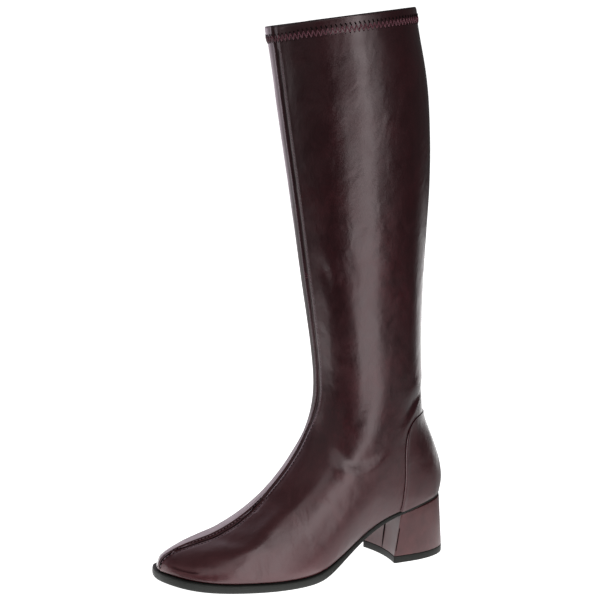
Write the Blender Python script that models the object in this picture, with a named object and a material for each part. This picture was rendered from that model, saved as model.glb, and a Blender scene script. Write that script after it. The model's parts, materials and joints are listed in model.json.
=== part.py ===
"""Knee-high pull-on sock boot for the left foot, standing empty on its sole.

Every piece is worked out in the frame of the last: Y runs from the toe (0) to the heel, +X is the
outer side of the foot and Z is the height over the floor. One empty carries the last's frame to the
part's own origin, which lies on the floor under the middle of the boot.
"""

import math

import bmesh
import bpy
import numpy as np

MM = 0.001

# Driving sizes
UPPER_WALL = 1.6 * MM
HEM_WALL = 2.4 * MM
HEM_DEPTH = 9.5 * MM
HEM_RISE = 0.5 * MM
PIECE_GAP = 0.3 * MM
COUNTER_WALL = 0.9 * MM
INSOLE_THICKNESS = 2.6 * MM
INSOLE_CLEARANCE = 0.6 * MM
LIFT_THICKNESS = 5.4 * MM

# Raised front seam: distance from the seam's middle, and the rise of the leather there
SEAM_PROFILE = {
    "reach": np.array([0.0, 1.1, 2.3, 3.5, 5.2]) * MM,
    "rise": np.array([-0.45, 0.55, 0.65, -0.05, 0.0]) * MM,
}
SEAM_PEAK = 1.2 * MM
SEAM_PEAK_REACH = 11 * MM

SIDE_COLUMNS = 22
LOOP_SAMPLES = 260

# Height of the feather line, where upper and sole meet, along the foot, in millimetres
FEATHER_ALONG = (5.2, 14, 26, 40, 56, 74, 92, 108, 121, 133, 144, 155, 166, 177, 190, 206, 226, 246)
FEATHER_HEIGHT = (
    14.0, 12.2, 10.4, 8.7, 7.3, 6.4, 6.1, 6.2, 7.2, 10.9, 16.9, 23.6, 30.0, 35.8, 40.4, 44.2, 48.2, 50.6,
)

# Sideways swing of the foot's middle line, by share of the foot's length, in millimetres
SWING_AT = (0.0, 0.18, 0.38, 0.62, 0.85, 1.0)
SWING = (0.8, 1.8, 3.0, 3.6, 0.4, 0.0)

# Where the four widths of a loop are measured, as shares of its length from front to back
WIDTH_AT = (0.18, 0.38, 0.62, 0.85)

# Loops of the upper from the feather line to the rim, in millimetres. front and back are the loop's
# ends on the front and back seams. The four widths are half widths. nose and tail are the shares of
# the loop where its ends start to round, and power is how square the toe is. follow says how far the
# loop copies the curve of the sole, and swing how far it copies the swing of the foot. slant is how
# steeply the loop rises towards the outer side.
LOOP_COLUMNS = (
    "front_y", "front_z", "back_y", "back_z", "toe", "ball", "waist", "heel",
    "nose", "tail", "power", "follow", "swing", "slant",
)
LOOP_ROWS = (
    (5.2, 14.0, 246.0, 50.6, 38.7, 43.6, 29.5, 27.8, 0.190, 0.82, 2.06, 1.00, 1.00, 0.000),
    (5.4, 18.0, 247.4, 55.6, 38.6, 43.8, 31.5, 28.8, 0.200, 0.81, 2.08, 1.00, 1.00, 0.000),
    (7.2, 22.4, 248.0, 61.2, 37.6, 43.0, 33.0, 29.6, 0.215, 0.80, 2.10, 1.00, 1.00, 0.000),
    (12.2, 27.2, 247.6, 67.8, 36.6, 41.6, 34.2, 30.1, 0.240, 0.78, 2.10, 0.97, 0.97, 0.000),
    (25.6, 33.6, 246.1, 75.2, 37.0, 39.8, 34.8, 30.2, 0.280, 0.76, 2.15, 0.90, 0.90, 0.000),
    (45.4, 39.2, 243.3, 83.6, 37.4, 38.2, 34.8, 30.0, 0.340, 0.74, 2.15, 0.79, 0.79, 0.000),
    (68.0, 47.6, 239.9, 92.8, 37.2, 36.6, 34.4, 30.0, 0.390, 0.71, 2.15, 0.63, 0.65, 0.000),
    (91.6, 61.6, 235.4, 102.6, 36.4, 35.4, 33.9, 30.3, 0.440, 0.66, 2.10, 0.44, 0.50, 0.000),
    (112.6, 80.6, 231.2, 112.8, 35.4, 34.7, 33.5, 31.2, 0.480, 0.59, 2.10, 0.25, 0.34, 0.000),
    (128.4, 102.0, 228.6, 124.4, 34.6, 34.3, 33.6, 32.6, 0.500, 0.53, 2.00, 0.10, 0.19, 0.000),
    (137.0, 123.4, 227.6, 139.0, 34.4, 34.3, 34.0, 33.8, 0.500, 0.50, 2.00, 0.02, 0.08, 0.000),
    (139.0, 147.0, 227.0, 158.8, 34.8, 34.8, 34.8, 34.7, 0.500, 0.50, 2.00, 0.00, 0.02, 0.000),
    (135.4, 180.0, 226.2, 190.8, 36.0, 36.0, 36.0, 36.0, 0.500, 0.50, 2.00, 0.00, 0.00, 0.000),
    (127.8, 226.0, 227.0, 236.6, 38.8, 38.8, 38.8, 38.8, 0.500, 0.50, 2.00, 0.00, 0.00, 0.000),
    (119.8, 279.0, 229.6, 290.0, 42.8, 42.8, 42.8, 42.8, 0.500, 0.50, 2.00, 0.00, 0.00, 0.000),
    (112.4, 325.0, 229.4, 336.6, 45.7, 45.7, 45.7, 45.7, 0.500, 0.50, 2.00, 0.00, 0.00, 0.012),
    (105.8, 366.0, 225.4, 378.4, 47.2, 47.2, 47.2, 47.2, 0.500, 0.50, 2.00, 0.00, 0.00, 0.050),
    (101.6, 393.6, 219.2, 405.4, 47.3, 47.3, 47.3, 47.3, 0.500, 0.50, 2.00, 0.00, 0.00, 0.102),
    (96.6, 420.6, 214.2, 431.4, 46.8, 46.8, 46.8, 46.8, 0.500, 0.50, 2.00, 0.00, 0.00, 0.116),
)
RATIO_COLUMNS = ("nose", "tail", "power", "follow", "swing", "slant")
RIM_ROW = len(LOOP_ROWS) - 1
TAIL_POWER = 2.1

# Outsole by station along the foot, in millimetres: thickness, and how far it stands out of the upper
SOLE_COLUMNS = ("along", "thickness", "ledge")
SOLE_ROWS = (
    (0, 6.4, 2.8),
    (40, 6.2, 2.8),
    (80, 5.8, 2.8),
    (112, 5.7, 2.5),
    (135, 5.2, 1.4),
    (160, 4.4, 0.2),
    (190, 3.0, 0.0),
    (215, 2.3, 0.3),
    (248, 2.2, 0.5),
)
TREAD_FLAT = (76 * MM, 116 * MM)
SOLE_LENGTH_SPARE = 3.0 * MM
SOLE_TAIL_SPARE = 0.5 * MM

# Rings round the outsole's edge, as shares of its thickness from the bottom, with their inset
SOLE_RINGS = ((0.0, 0.8 * MM), (0.1, 0.15 * MM), (0.4, 0.0), (0.82, 0.1 * MM), (1.0, 0.6 * MM))

# Heel block: sections at the lift and at the seat
HEEL_BREAST_Y = {"foot": 194.6 * MM, "seat": 199.4 * MM}
HEEL_BACK_Y = {"foot": 250.0 * MM, "seat": 246.0 * MM}
HEEL_HALF = {"foot": 25.6 * MM, "seat": 27.4 * MM}
HEEL_BREAST_HOLLOW = 3.4 * MM
HEEL_CORNER = 2.4 * MM
HEEL_BACK_SHARE = 0.72
HEEL_BACK_POWER = 2.05
HEEL_LEVELS = 6
BREAST_SEAM = {"half": 0.7 * MM, "depth": 0.7 * MM}

# Heel counter: the panel's edge seen from the side, from the seat to the back seam, in millimetres
COUNTER_EDGE_COLUMNS = ("along", "height")
COUNTER_EDGE = (
    (196.5, 34.0),
    (198.6, 52.0),
    (199.9, 72.0),
    (199.7, 88.0),
    (200.8, 99.0),
    (203.0, 106.4),
    (206.6, 111.6),
    (212.0, 115.0),
    (219.0, 116.6),
    (228.0, 117.2),
    (262.0, 117.6),
)
COUNTER_CLOSING = ((262.0, 34.0),)
COUNTER_LAST_ROW = 9.5
COUNTER_FIRST_SHARE = 0.58

COLOURS = {
    "burgundy_leather": (0.052, 0.014, 0.017, 1.0),
    "heel_leather": (0.075, 0.024, 0.026, 1.0),
    "sole_rubber": (0.016, 0.017, 0.016, 1.0),
    "lift_rubber": (0.020, 0.021, 0.020, 1.0),
    "insole_fabric": (0.030, 0.024, 0.024, 1.0),
}
ROUGHNESS = {
    "burgundy_leather": 0.30,
    "heel_leather": 0.38,
    "sole_rubber": 0.55,
    "lift_rubber": 0.65,
    "insole_fabric": 0.90,
}


def spline(knots, values):
    """Natural cubic spline through the knots, as a function of position."""
    knots = np.asarray(knots, float)
    values = np.asarray(values, float)
    gap = np.diff(knots)
    slope = np.diff(values) / gap
    size = len(knots)
    system = np.eye(size)
    turn = np.zeros(size)
    for i in range(1, size - 1):
        system[i, i - 1 : i + 2] = gap[i - 1], 2 * (gap[i - 1] + gap[i]), gap[i]
        turn[i] = 6 * (slope[i] - slope[i - 1])
    bend = np.linalg.solve(system, turn)

    def at(position):
        position = np.clip(np.asarray(position, float), knots[0], knots[-1])
        i = np.clip(np.searchsorted(knots, position) - 1, 0, size - 2)
        ahead = knots[i + 1] - position
        past = position - knots[i]
        cubic = (bend[i] * ahead**3 + bend[i + 1] * past**3) / (6 * gap[i])
        line = (values[i] / gap[i] - bend[i] * gap[i] / 6) * ahead
        return cubic + line + (values[i + 1] / gap[i] - bend[i + 1] * gap[i] / 6) * past

    return at


def named_splines(columns, rows, ratios=()):
    """One spline per named column of a table in millimetres, by row number. Ratios aren't lengths."""
    numbers = np.array(rows, float)
    return {
        name: spline(range(len(rows)), numbers[:, i] * (1 if name in ratios else MM))
        for i, name in enumerate(columns)
    }


feather = spline(np.array(FEATHER_ALONG) * MM, np.array(FEATHER_HEIGHT) * MM)
swing_of_foot = spline(SWING_AT, np.array(SWING) * MM)
LOOPS = named_splines(LOOP_COLUMNS, LOOP_ROWS, RATIO_COLUMNS)
SOLE = {
    name: spline(np.array(SOLE_ROWS)[:, 0] * MM, np.array(SOLE_ROWS)[:, i] * MM)
    for i, name in enumerate(SOLE_COLUMNS)
    if name != "along"
}


def rounded_ends(share, nose, tail, nose_power, tail_power=TAIL_POWER):
    """Factor that closes an outline to a round nose and a round tail."""
    front = np.clip(1 - share / nose, 0, 1)
    back = np.clip((share - tail) / (1 - tail), 0, 1)
    closed_nose = (1 - front**nose_power) ** (1 / nose_power)
    return closed_nose * (1 - back**tail_power) ** (1 / tail_power)


def shares(count):
    """Shares of a length from 0 to 1, closer together at both ends."""
    return (1 - np.cos(np.linspace(0, math.pi, count))) / 2


def loop_side(row, side, share=None):
    """One side of a loop of the upper's outer face, from the front seam to the back seam."""
    share = shares(LOOP_SAMPLES) if share is None else share
    size = {name: float(column(row)) for name, column in LOOPS.items()}
    along = size["front_y"] + (size["back_y"] - size["front_y"]) * share
    sole_chord = feather(LOOPS["front_y"](0)) * (1 - share) + feather(LOOPS["back_y"](0)) * share
    height = size["front_z"] + (size["back_z"] - size["front_z"]) * share
    height = height + size["follow"] * (feather(along) - sole_chord)
    widths = [size["toe"], size["toe"], size["ball"], size["waist"], size["heel"], size["heel"]]
    half = spline((0.0, *WIDTH_AT, 1.0), widths)(share)
    half = half * rounded_ends(share, size["nose"], size["tail"], size["power"])
    middle = swing_of_foot(share) * size["swing"]
    height = height + size["slant"] * side * half
    return np.stack([middle + side * half, along, height], axis=1)


def travelled(points):
    """Distance along a line of points, at each of them."""
    return np.concatenate([[0], np.cumsum(np.linalg.norm(np.diff(points, axis=0), axis=1))])


def upper_columns(row):
    """Shares of a loop's length for the columns of one side: at set distances on the seam, then spread."""
    seam = np.interp(SEAM_PROFILE["reach"], travelled(loop_side(row, 1)), shares(LOOP_SAMPLES))
    return np.concatenate([seam[:-1], seam[-1] + (1 - seam[-1]) * shares(SIDE_COLUMNS + 1)])


def upper_rows():
    """Loop numbers of the upper's rows: close together at the toe and at the hem."""
    rim_gap = np.linalg.norm(loop_side(RIM_ROW, 1)[0] - loop_side(RIM_ROW - 1, 1)[0])
    hem = np.array([HEM_DEPTH + 4 * MM, HEM_DEPTH + 1.2 * MM, HEM_DEPTH, HEM_DEPTH / 2, 1.2 * MM, 0.0])
    foot = np.arange(0, 4, 1.0)
    leg = np.arange(4, RIM_ROW - 0.6, 0.5)
    return np.concatenate([foot, leg, RIM_ROW - hem / rim_gap]), rim_gap


def grid_normals(grid):
    """Outward normals of a grid of points that closes on itself round the boot."""
    up = np.gradient(grid, axis=0)
    behind = np.roll(grid, 1, axis=1)
    ahead = np.roll(grid, -1, axis=1)
    normal = np.cross(ahead - behind, up)
    return normal / np.linalg.norm(normal, axis=2, keepdims=True)


def upper_faces():
    """Rows of points on the upper's outer face and on its lining side, and the outward normals."""
    rows, rim_gap = upper_rows()
    grid = []
    distances = []
    for row in rows:
        columns = upper_columns(row)
        outer_side = loop_side(row, 1, columns)
        inner_side = loop_side(row, -1, columns)
        grid.append(np.concatenate([outer_side, inner_side[-2:0:-1]]))
        reached = [travelled(loop_side(row, side)) for side in (1, -1)]
        outer, inner = (np.interp(columns, shares(LOOP_SAMPLES), reach) for reach in reached)
        distances.append(np.concatenate([outer, inner[-2:0:-1]]))
    grid = np.array(grid)
    distances = np.array(distances)
    normals = grid_normals(grid)
    for end in (0, -1):
        normals[end, :, 2] = 0
        normals[end] /= np.linalg.norm(normals[end], axis=1, keepdims=True)
    seam = np.interp(distances, SEAM_PROFILE["reach"], SEAM_PROFILE["rise"])
    peak = SEAM_PEAK * np.exp(-((distances / SEAM_PEAK_REACH) ** 2))
    below_rim = (RIM_ROW - rows) * rim_gap
    in_hem = below_rim < HEM_DEPTH + 0.5 * MM
    at_rim = below_rim < 0.5 * MM
    hem = np.where(at_rim, -0.2 * HEM_RISE, np.where(in_hem, HEM_RISE, 0.0))
    wall = np.where(in_hem, HEM_WALL - HEM_RISE, UPPER_WALL)
    outer_face = grid + normals * (seam + peak + hem[:, None])[:, :, None]
    lining_face = grid + normals * (peak - wall[:, None])[:, :, None]
    return rows, outer_face, lining_face, normals


def material(name):
    made = bpy.data.materials.get(name) or bpy.data.materials.new(name)
    made.use_nodes = True
    shader = made.node_tree.nodes["Principled BSDF"]
    shader.inputs["Base Color"].default_value = COLOURS[name]
    shader.inputs["Roughness"].default_value = ROUGHNESS[name]
    shader.inputs["Metallic"].default_value = 0.0
    made.diffuse_color = COLOURS[name]
    return made


def add_piece(name, form, finish, last):
    """A named object from a bmesh, on the last's empty."""
    mesh = bpy.data.meshes.new(name)
    bmesh.ops.recalc_face_normals(form, faces=form.faces)
    form.to_mesh(mesh)
    form.free()
    mesh.materials.append(material(finish))
    mesh.shade_smooth()
    mesh.set_sharp_from_angle(angle=math.radians(42))
    piece = bpy.data.objects.new(name, mesh)
    bpy.context.scene.collection.objects.link(piece)
    piece.parent = last
    return piece


def loop_of(form, points):
    """A closed loop of edges through the points."""
    corners = [form.verts.new(point) for point in points]
    return [form.edges.new((a, b)) for a, b in zip(corners, corners[1:] + corners[:1])]


def bridged(form, loops):
    """Bridges each loop of edges to the next."""
    for lower, upper in zip(loops, loops[1:]):
        bmesh.ops.bridge_loops(form, edges=lower + upper)


def skin_from_grid(grid, closed):
    """A wall through rows of points, closed round its rows: the first half goes up its outer face.

    Both faces are split along the same diagonals. Open columns are capped.
    """
    form = bmesh.new()
    corners = [[form.verts.new(point) for point in row] for row in grid]
    width = len(corners[0])
    half = len(corners) // 2
    for i, (low, high) in enumerate(zip(corners, corners[1:] + corners[:1])):
        for j in range(width if closed else width - 1):
            k = (j + 1) % width
            if i < half:
                form.faces.new((low[j], low[k], high[k]))
                form.faces.new((low[j], high[k], high[j]))
            else:
                form.faces.new((low[j], low[k], high[j]))
                form.faces.new((low[k], high[k], high[j]))
    if not closed:
        for column in (0, width - 1):
            side = [row[column] for row in corners]
            for i in range(half - 1):
                form.faces.new((side[i], side[i + 1], side[-i - 2], side[-i - 1]))
    return form


def make_upper(last):
    """Upper and shaft in one wall, open at the rim and underneath, thicker where the rim is hemmed."""
    rows, outer_face, lining_face, normals = upper_faces()
    wall = np.concatenate([outer_face, lining_face[::-1]])
    add_piece("upper", skin_from_grid(wall, closed=True), "burgundy_leather", last)


def make_counter(last):
    """Heel counter, cut by its side outline from a skin laid over the back of the upper."""
    rows, outer_face, lining_face, normals = upper_faces()
    columns = np.flatnonzero(upper_columns(0) > COUNTER_FIRST_SHARE)[0]
    count = outer_face.shape[1]
    around = slice(columns, count - columns + 1)
    low = rows <= COUNTER_LAST_ROW
    under = (outer_face + normals * PIECE_GAP)[low, around]
    over = (outer_face + normals * (PIECE_GAP + COUNTER_WALL))[low, around]
    skin = skin_from_grid(np.concatenate([over, under[::-1]]), closed=False)
    piece = add_piece("heel_counter", skin, "burgundy_leather", last)
    outline = np.array(COUNTER_EDGE + COUNTER_CLOSING) * MM
    form = bmesh.new()
    sides = [
        loop_of(form, np.column_stack([np.full(len(outline), x), outline])) for x in (-60 * MM, 60 * MM)
    ]
    bridged(form, sides)
    for edges in sides:
        bmesh.ops.contextual_create(form, geom=edges)
    cutter = add_piece("counter_outline", form, "burgundy_leather", last)
    cutter.hide_render = True
    cutter.display_type = "WIRE"
    cut = piece.modifiers.new("panel_edge", "BOOLEAN")
    cut.operation = "INTERSECT"
    cut.solver = "EXACT"
    cut.object = cutter


def sole_bottom(along):
    """Height of the outsole's underside: the feather line less the sole, flat under the ball."""
    height = feather(along) - PIECE_GAP - SOLE["thickness"](along)
    low, high = TREAD_FLAT
    inside = np.minimum(along - low, high - along)
    return np.maximum(height * (1 - ease(1 + inside / (22 * MM))), 0)


def ease(value):
    value = np.clip(value, 0, 1)
    return value * value * (3 - 2 * value)


def sole_outline(spare_toe, spare_heel, ledge):
    """Sole-shaped outline at the upper's own columns: its outer side and its inner side."""
    share = upper_columns(0)
    sides = []
    for side in (1, -1):
        edge = loop_side(0, side, share)
        along = edge[:, 1] - spare_toe * ease(1 - share / 0.3) + spare_heel * ease((share - 0.8) / 0.2)
        half = np.abs(edge[:, 0] - swing_of_foot(share))
        half = half + ledge(along) * np.clip(half / (0.4 * half.max()), 0, 1)
        sides.append(np.stack([swing_of_foot(share) + side * half, along], axis=1))
    return sides


def inset_outline(sides, inset):
    """The outline moved inwards by the inset, at every station."""
    loop = np.concatenate([sides[0], sides[1][-2:0:-1]])
    ahead = np.roll(loop, -1, axis=0) - np.roll(loop, 1, axis=0)
    inwards = np.stack([-ahead[:, 1], ahead[:, 0]], axis=1)
    inwards /= np.linalg.norm(inwards, axis=1, keepdims=True)
    return loop + inwards * inset


def plate_between(name, finish, rings, last):
    """A closed plate through rings of points. Its two ends are capped station by station."""
    form = bmesh.new()
    loops = [loop_of(form, ring) for ring in rings]
    bridged(form, loops)
    form.verts.ensure_lookup_table()
    count = len(rings[0])
    for start in (0, (len(rings) - 1) * count):
        ring = [form.verts[start + i] for i in range(count)]
        last_station = count // 2
        for i in range(last_station):
            corners = [ring[i], ring[i + 1], ring[count - i - 1], ring[(count - i) % count]]
            form.faces.new(list(dict.fromkeys(corners)))
    return add_piece(name, form, finish, last)


def make_outsole(last):
    """Full-length outsole: ledge and toe spring in front, thin waist, and a skin over the heel block."""
    sides = sole_outline(SOLE_LENGTH_SPARE, SOLE_TAIL_SPARE, SOLE["ledge"])
    rings = []
    for share, inset in SOLE_RINGS:
        plan = inset_outline(sides, inset)
        along = inset_outline(sides, 0)[:, 1]
        bottom = sole_bottom(along)
        top = feather(along) - PIECE_GAP
        rings.append(np.column_stack([plan, bottom + (top - bottom) * share]))
    plate_between("outsole", "sole_rubber", rings, last)


def make_insole(last):
    """Insole inside the upper, lying on the outsole along the whole foot."""
    sides = sole_outline(0.0, 0.0, lambda along: 0 * along)
    plan = inset_outline(sides, UPPER_WALL + INSOLE_CLEARANCE)
    edge = inset_outline(sides, UPPER_WALL + INSOLE_CLEARANCE + 0.6 * MM)
    low = feather(plan[:, 1]) + PIECE_GAP
    rings = [
        np.column_stack([plan, low]),
        np.column_stack([plan, low + INSOLE_THICKNESS - 0.6 * MM]),
        np.column_stack([edge, low + INSOLE_THICKNESS]),
    ]
    plate_between("insole", "insole_fabric", rings, last)


def heel_outline(level):
    """Outline of the heel block at a level from foot (0) to seat (1), starting at the breast's seam."""

    def between(size):
        return size["foot"] + (size["seat"] - size["foot"]) * level

    breast, back, half = between(HEEL_BREAST_Y), between(HEEL_BACK_Y), between(HEEL_HALF)
    seam = [(0.0, breast + HEEL_BREAST_HOLLOW + BREAST_SEAM["depth"])]
    across = np.linspace(BREAST_SEAM["half"], half - HEEL_CORNER, 6)
    hollow = [(x, breast + HEEL_BREAST_HOLLOW * (1 - (x / half) ** 2)) for x in across]
    turn = np.linspace(0, math.pi / 2, 4)[1:]
    corner = [
        (half - HEEL_CORNER + HEEL_CORNER * math.sin(a), breast + HEEL_CORNER * (1 - math.cos(a)))
        for a in turn
    ]
    start = back - (back - breast) * HEEL_BACK_SHARE
    sweep = np.linspace(0, math.pi / 2, 11)[:-1]
    power = 2 / HEEL_BACK_POWER
    rear = [
        (half * math.cos(a) ** power, start + (back - start) * math.sin(a) ** power) for a in sweep
    ]
    outer = hollow + corner + rear
    inner = [(-x, y) for x, y in reversed(outer)]
    return np.array(seam + outer + [(0.0, back)] + inner)


def make_heel(last):
    """Leather-covered block heel under the seat, hollow at the breast, where the cover is seamed."""
    rings = []
    floor = LIFT_THICKNESS + PIECE_GAP
    for level in np.linspace(0, 1, HEEL_LEVELS):
        plan = heel_outline(level)
        seat = sole_bottom(plan[:, 1]) - PIECE_GAP
        rings.append(np.column_stack([plan, floor + (seat - floor) * level]))
    form = bmesh.new()
    loops = [loop_of(form, ring) for ring in rings]
    bridged(form, loops)
    for edges in (loops[0], loops[-1]):
        bmesh.ops.contextual_create(form, geom=edges)
    add_piece("heel_block", form, "heel_leather", last)


def make_lift(last):
    """Rubber lift that the heel stands on."""
    plan = heel_outline(0.0)
    plan[0, 1] -= BREAST_SEAM["depth"]
    form = bmesh.new()
    heights = (0.0, LIFT_THICKNESS)
    loops = [loop_of(form, np.column_stack([plan, np.full(len(plan), z)])) for z in heights]
    bridged(form, loops)
    for edges in loops:
        bmesh.ops.contextual_create(form, geom=edges)
    add_piece("heel_lift", form, "lift_rubber", last)


def main():
    for thing in list(bpy.data.objects):
        bpy.data.objects.remove(thing)
    last = bpy.data.objects.new("last_frame", None)
    bpy.context.scene.collection.objects.link(last)
    make_outsole(last)
    make_heel(last)
    make_lift(last)
    make_insole(last)
    make_upper(last)
    make_counter(last)
    corners = [v.co for piece in last.children if not piece.hide_render for v in piece.data.vertices]
    low = np.min(corners, axis=0)
    high = np.max(corners, axis=0)
    last.location = (-(low[0] + high[0]) / 2, -(low[1] + high[1]) / 2, 0)


if __name__ == "__main__":
    main()
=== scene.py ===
"""Looks of the knee-high sock boot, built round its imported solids.

Run as a script, it dresses every solid, adds the stitching and sets up the studio. All places are in
metres in the part's own frame: the toe points to -Y, the outer side of the foot is +X and the floor
is at zero.
"""

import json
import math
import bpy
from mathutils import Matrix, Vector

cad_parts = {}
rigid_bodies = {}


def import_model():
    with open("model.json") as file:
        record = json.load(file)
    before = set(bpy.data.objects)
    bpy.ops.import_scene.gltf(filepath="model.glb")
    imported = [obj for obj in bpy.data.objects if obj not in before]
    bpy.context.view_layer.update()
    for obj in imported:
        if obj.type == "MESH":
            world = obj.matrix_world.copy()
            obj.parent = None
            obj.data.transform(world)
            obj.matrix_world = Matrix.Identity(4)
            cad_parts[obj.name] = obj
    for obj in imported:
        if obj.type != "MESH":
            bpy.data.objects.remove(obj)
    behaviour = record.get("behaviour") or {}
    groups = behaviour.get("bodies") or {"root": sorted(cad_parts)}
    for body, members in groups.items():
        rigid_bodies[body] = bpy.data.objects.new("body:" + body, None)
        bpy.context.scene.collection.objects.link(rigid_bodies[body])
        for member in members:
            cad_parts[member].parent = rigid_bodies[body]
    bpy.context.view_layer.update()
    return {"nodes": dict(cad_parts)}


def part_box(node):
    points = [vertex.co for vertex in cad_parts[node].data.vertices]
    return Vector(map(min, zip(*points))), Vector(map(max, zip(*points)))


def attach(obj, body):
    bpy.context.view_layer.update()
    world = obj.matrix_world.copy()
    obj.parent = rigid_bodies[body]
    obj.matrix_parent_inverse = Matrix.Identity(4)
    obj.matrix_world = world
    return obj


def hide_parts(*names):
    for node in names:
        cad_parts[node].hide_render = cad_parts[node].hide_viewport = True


bl_info = {
    "name": "Sock boot looks",
    "version": (1, 0, 0),
    "blender": (4, 5, 0),
    "location": "3D View > Sidebar > Boot",
    "description": "Dresses the packed sock boot in leather, stitching and rubber, and lights it",
    "category": "Object",
}

import bpy
import numpy as np
from bpy.props import FloatProperty, FloatVectorProperty, IntProperty, PointerProperty
from mathutils import Matrix, Vector, noise
from mathutils.bvhtree import BVHTree
from mathutils.kdtree import KDTree

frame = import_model()
MM = 0.001

# Middle of the leg by height, in millimetres, from which the shaft is measured round
LEG_X = -1.0 * MM
LEG_HEIGHT = (0, 60, 100, 124, 158, 226, 290, 336, 405, 440)
LEG_MIDDLE = (60, 62, 56, 52.5, 57.4, 51.7, 49, 45, 34.7, 29)

# Heel counter's edge seen from the side, from the seat to the back seam: places along the boot and heights
# in millimetres. It is used from its start height up, and turns from its side to its top at the corner
COUNTER_EDGE = (
    (70.8, 34.0), (72.9, 52.0), (74.2, 72.0), (74.0, 88.0), (75.1, 99.0), (77.3, 106.4), (80.9, 111.6),
    (86.3, 115.0), (93.3, 116.6),
)
COUNTER_START = 44 * MM
COUNTER_CORNER = 110.6 * MM
COUNTER_TOP = 117.4 * MM
COUNTER_FEATHER = (0.040, 0.056)
COUNTER_RADIUS = 0.03
COUNTER_COLUMNS = 61
COUNTER_ROWS = 45
COUNTER_GAP = 0.12 * MM
COUNTER_WALL = 0.6 * MM
COUNTER_FLAP = 1.3 * MM
COUNTER_BEVEL = 0.28 * MM

# Welt of the counter in millimetres: rise by the distance from its front edges, and its share by the row
WELT = ((0.0, 0.5, 1.2, 2.2, 4.5), (0.0, 0.3, 0.5, 0.25, 0.0))
WELT_SHARE = ((0.65, 0.92), (1, 0))

# Lowest place of the rim, and the near-black band of painted shade along its turned top edge
RIM_LOW = 0.40
RIM_SHADE_BAND = 0.9 * MM

# Creases of the upper in millimetres: rise is out of the leather, reach is how far it fades to the
# sides, and the line runs through the points, fading out at both ends
CREASE_COLUMNS = ("rise", "reach", "line")
CREASES = (
    (-0.95, 5.0, ((21, 11, 103), (25.8, 15.6, 98.2), (30, 21, 93), (33.4, 26.5, 89.7), (34.3, 33, 89),
                 (34.8, 41.5, 92.5), (34.5, 50, 98))),
    (0.8, 4.5, ((20, 4, 95), (24.5, 9, 90.3), (31.5, 15, 84.5), (34.6, 23, 81), (35.6, 33, 80),
                (35.6, 45, 83.8), (35, 54, 90))),
    (2.1, 8.5, ((34, -86, 18), (35, -74, 23), (33.4, -64, 29.5), (30, -54, 36), (27, -44, 43),
                (25.5, -32, 51), (26.8, -18, 59.3), (28.9, -5, 68.4), (29, 4, 77))),
    (1.0, 3.2, ((16, 97, 132), (23, 88, 126), (27.5, 80.5, 118.5), (30, 74, 110), (31, 70, 102))),
    (-0.9, 4.5, ((14, 98, 139), (22, 90, 134), (27.5, 81, 127), (31, 73, 118))),
    (0.6, 5.0, ((14, 98, 148), (25, 86, 143), (30, 76, 136))),
    (-0.7, 4.0, ((13, 3, 242), (17.5, 5.6, 239), (20, 8.5, 232), (19, 9, 226))),
    (0.5, 4.5, ((19, 7, 247), (23, 10, 241), (25, 13, 233), (24, 13, 224))),
    (-0.5, 5.0, ((30, 18, 252), (32, 22, 243), (33, 26, 233))),
    (-0.6, 5.5, ((0, -79, 37), (9, -76, 36.5), (20, -70, 35), (28, -62, 33))),
    (0.4, 6.0, ((6, -66, 41), (17, -61, 39), (27, -53, 37))),
    (-0.4, 8.0, ((-14, 2, 108), (-24, 14, 101), (-32, 26, 94), (-34, 40, 92), (-32, 56, 98))),
    (0.35, 6.0, ((-16, -4, 91), (-26, 6, 85), (-33, 20, 80), (-35, 36, 78))),
    (0.8, 3.5, ((-16, 97, 130), (-24, 88, 123), (-29, 79, 114), (-32, 72, 105))),
    (-0.7, 5.0, ((-15, 98, 138), (-25, 88, 131), (-30, 78, 122))),
    (-0.5, 5.0, ((-6, -75, 37.5), (-18, -70, 35.5), (-27, -61, 33))),
)

# Front seam: its place across the boot, and how near to it a corner counts as on it. The front of the boot
# ends at SEAM_BACK, or at SEAM_INSTEP below the height SEAM_LEG. Stitches stay clear of sole and rim
SEAM_MIDDLE = -0.55 * MM
SEAM_NEAR = 0.5 * MM
SEAM_BACK = 0.045
SEAM_LEG = 0.12
SEAM_INSTEP = 0.02
SEAM_START = 2.5 * MM
SEAM_END = 14 * MM
# Step between the bits of the dark strip of painted shade down the seam's valley
VALLEY_SHADE_STEP = 3 * MM

# How far the seam drifts to the outer side, by height on the leg and by place along the foot, and the share
# of it in the leather beside the seam, in millimetres. From LEG_FOOT down the leather slides over the foot
LEG_DRIFT = ((105, 140, 215, 360, 440), (0.0, 3.3, 5.0, 5.3, 5.5))
FOOT_DRIFT = ((-119, -110, -100, -90, -62, -44, -26), (0.0, 1.6, 3.8, 4.9, 4.8, 2.8, 0.0))
DRIFT_SHARE = ((9, 30), (1.0, 0.0))
LEG_FOOT = 0.10

# Front seam's raised bands in millimetres: rise out of the leather by the distance from the seam, on the
# leg and on the foot, and the leg's share by height in metres
BAND_REACH = (0.0, 1.1, 2.0, 2.7, 3.4, 4.2, 5.2, 6.6, 8.5)
BAND_LEG = (-0.10, -0.53, -0.38, -0.09, 0.31, 0.26, 0.12, 0.04, 0.0)
BAND_FOOT = (-0.06, -0.46, -0.36, -0.13, 0.03, 0.05, 0.02, 0.0, 0.0)
BAND_SHARE = ((0.06, 0.13), (0.0, 1.0))

# Heights in metres between which the leather's slow sway comes in over the ankle and fades at the hem
SWAY_SHARE = ((0.09, 0.14, 0.382, 0.412), (0, 1, 1, 0))

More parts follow.
